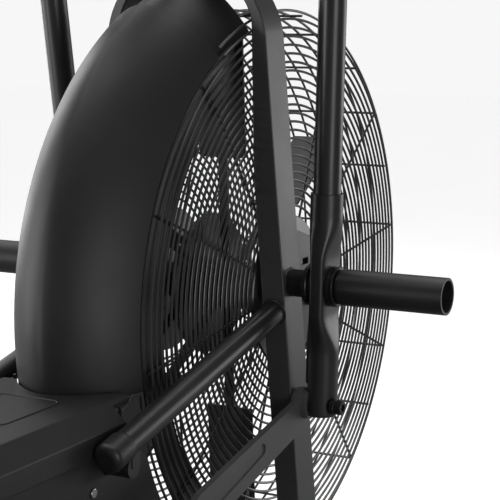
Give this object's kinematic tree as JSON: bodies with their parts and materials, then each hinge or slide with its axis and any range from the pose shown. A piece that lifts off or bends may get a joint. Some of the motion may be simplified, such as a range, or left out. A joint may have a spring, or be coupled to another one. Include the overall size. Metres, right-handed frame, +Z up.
{
  "type": "air bike",
  "caption": "Fan-braked exercise bike with caged paddle fan, moulded rear shroud, swinging handle arms, connecting rods, pedal cranks, foot pegs and adjustable saddle.",
  "frame": {"origin": "on the floor, at the centre of the bounding box's underside", "axes": "+X forward, +Y to the rider's left, +Z up"},
  "size_m": [1.31, 0.638, 1.2129],
  "materials": {
    "frame_paint": "satin black powder coat",
    "fork_paint": "satin black powder coat",
    "arm_paint": "satin black powder coat",
    "rod_paint": "satin black powder coat",
    "cage_wire": "gloss black coated wire",
    "cover_plastic": "satin moulded plastic",
    "black_plastic": "fine-textured black plastic",
    "rubber": "matt rubber",
    "grip_foam": "fine ribbed foam rubber",
    "black_metal": "semi-gloss black",
    "bright_steel": "turned steel",
    "fan_aluminium": "dark grey coated sheet",
    "pedal_plastic": "moulded nylon",
    "post_chrome": "satin steel",
    "saddle_cover": "grained vinyl cover over foam",
    "screen": "dark display window",
    "button_green": "satin",
    "button_red": "satin"
  },
  "bodies": {
    "root": {"main_beam": "frame_paint", "front_stabilizer": "frame_paint", "rear_stabilizer": "frame_paint", "tube_end_caps": "black_plastic", "levelling_feet": "black_plastic", "wheel_brackets": "frame_paint", "right_leg": "fork_paint", "left_leg": "fork_paint", "hub_plates": "fork_paint", "side_tubes": "frame_paint", "cross_brace": "frame_paint", "crank_post": "frame_paint", "seat_tube": "frame_paint", "seat_bushing": "black_plastic", "fan_axle": "bright_steel", "axle_nuts": "bright_steel", "right_grille": "cage_wire", "right_grille_rings": "cage_wire", "left_grille": "cage_wire", "left_grille_rings": "cage_wire", "rim_bars": "cage_wire", "rim_hoops": "cage_wire", "shroud": "cover_plastic", "cage_shields": "cover_plastic", "top_cover": "cover_plastic", "side_panels": "cover_plastic", "rear_panel": "cover_plastic", "housing_screws": "bright_steel", "drive_belt": "rubber", "crank_bearings": "bright_steel", "peg_axles": "black_metal", "foot_pegs": "black_metal", "console_mast": "fork_paint", "console_shell": "black_plastic", "console_screen": "screen"},
    "fan": {"fan_hub": "fan_aluminium", "fan_bearings": "bright_steel", "fan_paddles": "fan_aluminium", "fan_pulley": "fan_aluminium"},
    "crank": {"crank_axle": "bright_steel", "crank_pulley": "fan_aluminium", "right_crank": "black_metal", "left_crank": "black_metal"},
    "right_pedal": {"right_pedal": "pedal_plastic"},
    "left_pedal": {"left_pedal": "pedal_plastic"},
    "right_arm": {"right_arm": "arm_paint", "right_grip": "grip_foam"},
    "left_arm": {"left_arm": "arm_paint", "left_grip": "grip_foam"},
    "right_rod": {"right_rod": "rod_paint"},
    "left_rod": {"left_rod": "rod_paint"},
    "seat_post": {"seat_post": "post_chrome"},
    "saddle": {"saddle_base": "black_plastic", "saddle_cushion": "saddle_cover"},
    "post_knob": {"post_knob": "black_plastic"},
    "saddle_knob": {"saddle_knob": "black_plastic"},
    "right_transport_wheel": {"right_transport_wheel": "rubber"},
    "left_transport_wheel": {"left_transport_wheel": "rubber"},
    "start_button": {"start_button": "button_green"},
    "stop_button": {"stop_button": "button_red"}
  },
  "joints": [
    {"name": "crank_spin", "type": "hinge", "parent": "root", "child": "crank", "pos_m": [-0.185, 0, 0.256], "axis": [0, 1, 0], "continuous": true},
    {"name": "fan_spin", "type": "hinge", "parent": "root", "child": "fan", "pos_m": [0.315, 0, 0.46], "axis": [0, 1, 0], "continuous": true},
    {"name": "right_pedal_spin", "type": "hinge", "parent": "crank", "child": "right_pedal", "pos_m": [-0.185, -0.225, 0.086], "axis": [0, 1, 0], "continuous": true},
    {"name": "left_pedal_spin", "type": "hinge", "parent": "crank", "child": "left_pedal", "pos_m": [-0.185, 0.225, 0.426], "axis": [0, 1, 0], "continuous": true},
    {"name": "right_arm_swing", "type": "hinge", "parent": "root", "child": "right_arm", "pos_m": [0.245, -0.1685, 0.4831], "axis": [0, 1, 0], "range_deg": [-16.75, 11.25]},
    {"name": "left_arm_swing", "type": "hinge", "parent": "root", "child": "left_arm", "pos_m": [0.245, 0.1685, 0.4831], "axis": [0, 1, 0], "range_deg": [-11.25, 16.75]},
    {"name": "right_rod_pivot", "type": "hinge", "parent": "right_arm", "child": "right_rod", "pos_m": [0.239, -0.144, 0.342], "axis": [0, 1, 0], "range_deg": [-11.25, 16.75]},
    {"name": "left_rod_pivot", "type": "hinge", "parent": "left_arm", "child": "left_rod", "pos_m": [0.25255, 0.144, 0.34208], "axis": [0, 1, 0], "range_deg": [-16.75, 11.25]},
    {"name": "seat_post_slide", "type": "slide", "parent": "root", "child": "seat_post", "axis": [-0.1736, 0, 0.9848], "range_m": [0, 0.18]},
    {"name": "saddle_slide", "type": "slide", "parent": "seat_post", "child": "saddle", "axis": [1, 0, 0], "range_m": [-0.04, 0.04]},
    {"name": "post_knob_pull", "type": "slide", "parent": "root", "child": "post_knob", "axis": [0.9848, 0, 0.1736], "range_m": [0, 0.01], "stiffness_N_per_m": 1500, "springref_m": -0.003},
    {"name": "saddle_knob_turn", "type": "hinge", "parent": "saddle", "child": "saddle_knob", "pos_m": [-0.45676, -0.043, 0.80891], "axis": [0, 1, 0], "continuous": true},
    {"name": "right_transport_wheel_spin", "type": "hinge", "parent": "root", "child": "right_transport_wheel", "pos_m": [0.324, -0.236, 0.036], "axis": [0, 1, 0], "continuous": true},
    {"name": "left_transport_wheel_spin", "type": "hinge", "parent": "root", "child": "left_transport_wheel", "pos_m": [0.324, 0.236, 0.036], "axis": [0, 1, 0], "continuous": true},
    {"name": "start_button_press", "type": "slide", "parent": "root", "child": "start_button", "axis": [0.788, 0, 0.6157], "range_m": [0, 0.0025], "stiffness_N_per_m": 600, "springref_m": -0.001},
    {"name": "stop_button_press", "type": "slide", "parent": "root", "child": "stop_button", "axis": [0.788, 0, 0.6157], "range_m": [0, 0.0025], "stiffness_N_per_m": 600, "springref_m": -0.001}
  ],
  "couplings": [
    {"joint": "fan_spin", "follows": "crank_spin", "ratio": 4},
    {"joint": "left_arm_swing", "follows": "right_arm_swing", "ratio": -1},
    {"joint": "right_rod_pivot", "follows": "right_arm_swing", "ratio": -1},
    {"joint": "left_rod_pivot", "follows": "right_arm_swing", "ratio": 1}
  ]
}
